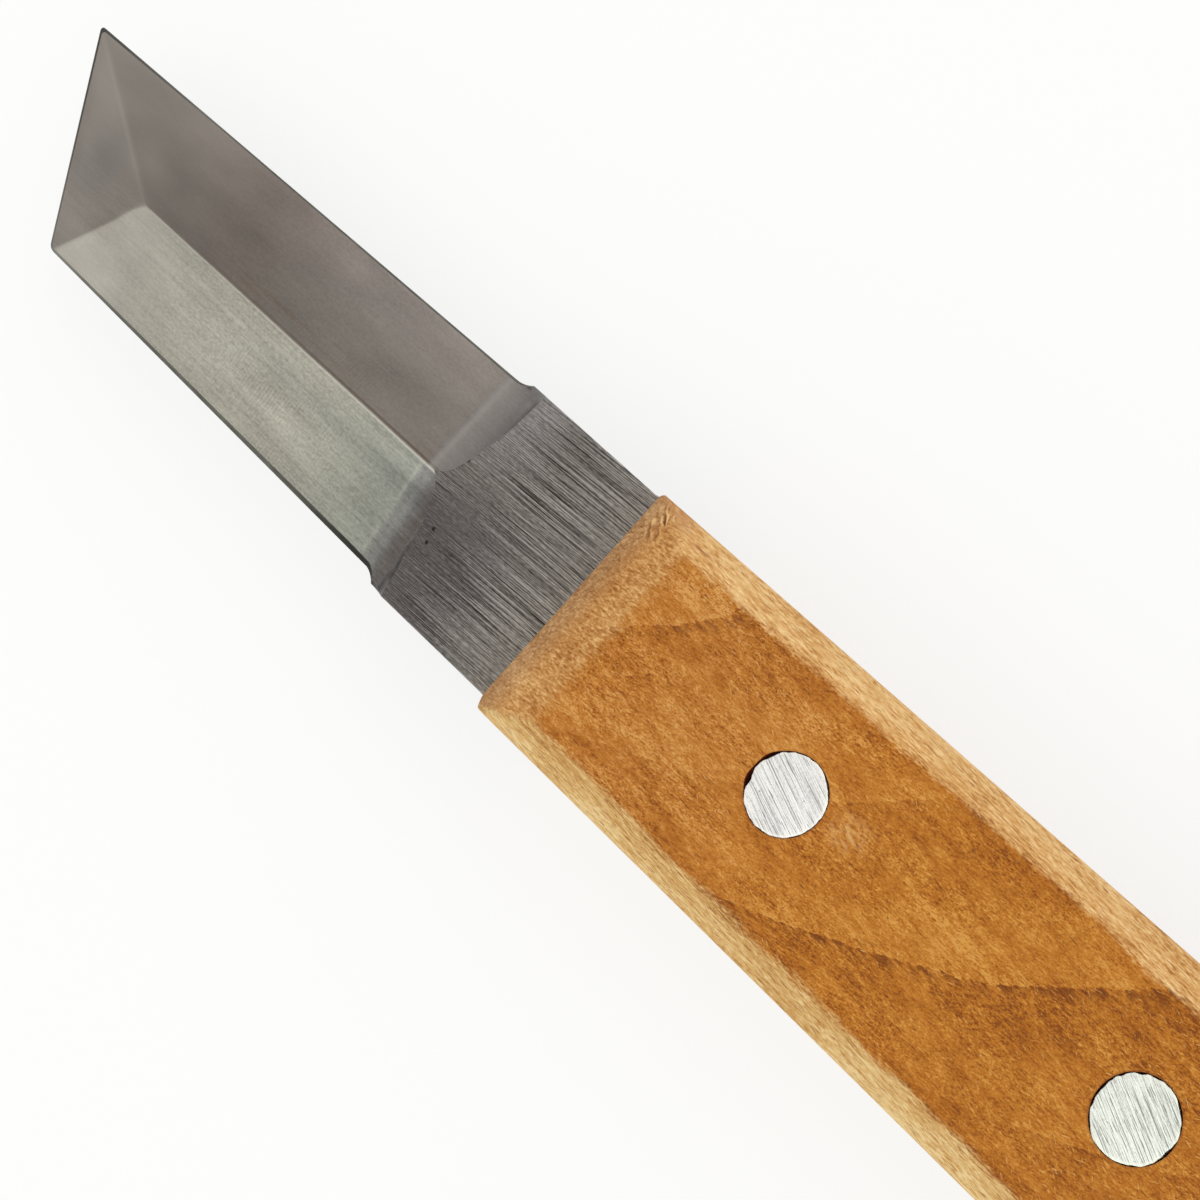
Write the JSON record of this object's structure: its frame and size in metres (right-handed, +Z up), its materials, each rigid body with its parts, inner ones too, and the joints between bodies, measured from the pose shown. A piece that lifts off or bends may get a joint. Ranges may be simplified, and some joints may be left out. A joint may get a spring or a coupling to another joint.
{
  "type": "wood carving knife",
  "caption": "Wood carving knife with a skewed, bevel-ground steel blade, a brushed shoulder and a full tang, held between bevelled wooden scales by flush aluminium rivets.",
  "frame": {"origin": "middle of the knife's length and width, on the surface that it lies on", "axes": "+X along the knife to the tip, +Z up out of the flat side, and the cutting edge faces -Y"},
  "size_m": [0.1775, 0.0224, 0.0155],
  "materials": {
    "steel": "satin ground faces, coarse lengthwise grinding lines on the shoulder",
    "wood": "oiled, sanded, paler along the bevels",
    "rivet": "ground flush, scratched"
  },
  "bodies": {
    "root": {"blade": "steel", "upper_scale": "wood", "lower_scale": "wood", "front_rivet": "rivet", "middle_rivet": "rivet", "rear_rivet": "rivet"}
  },
  "joints": []
}
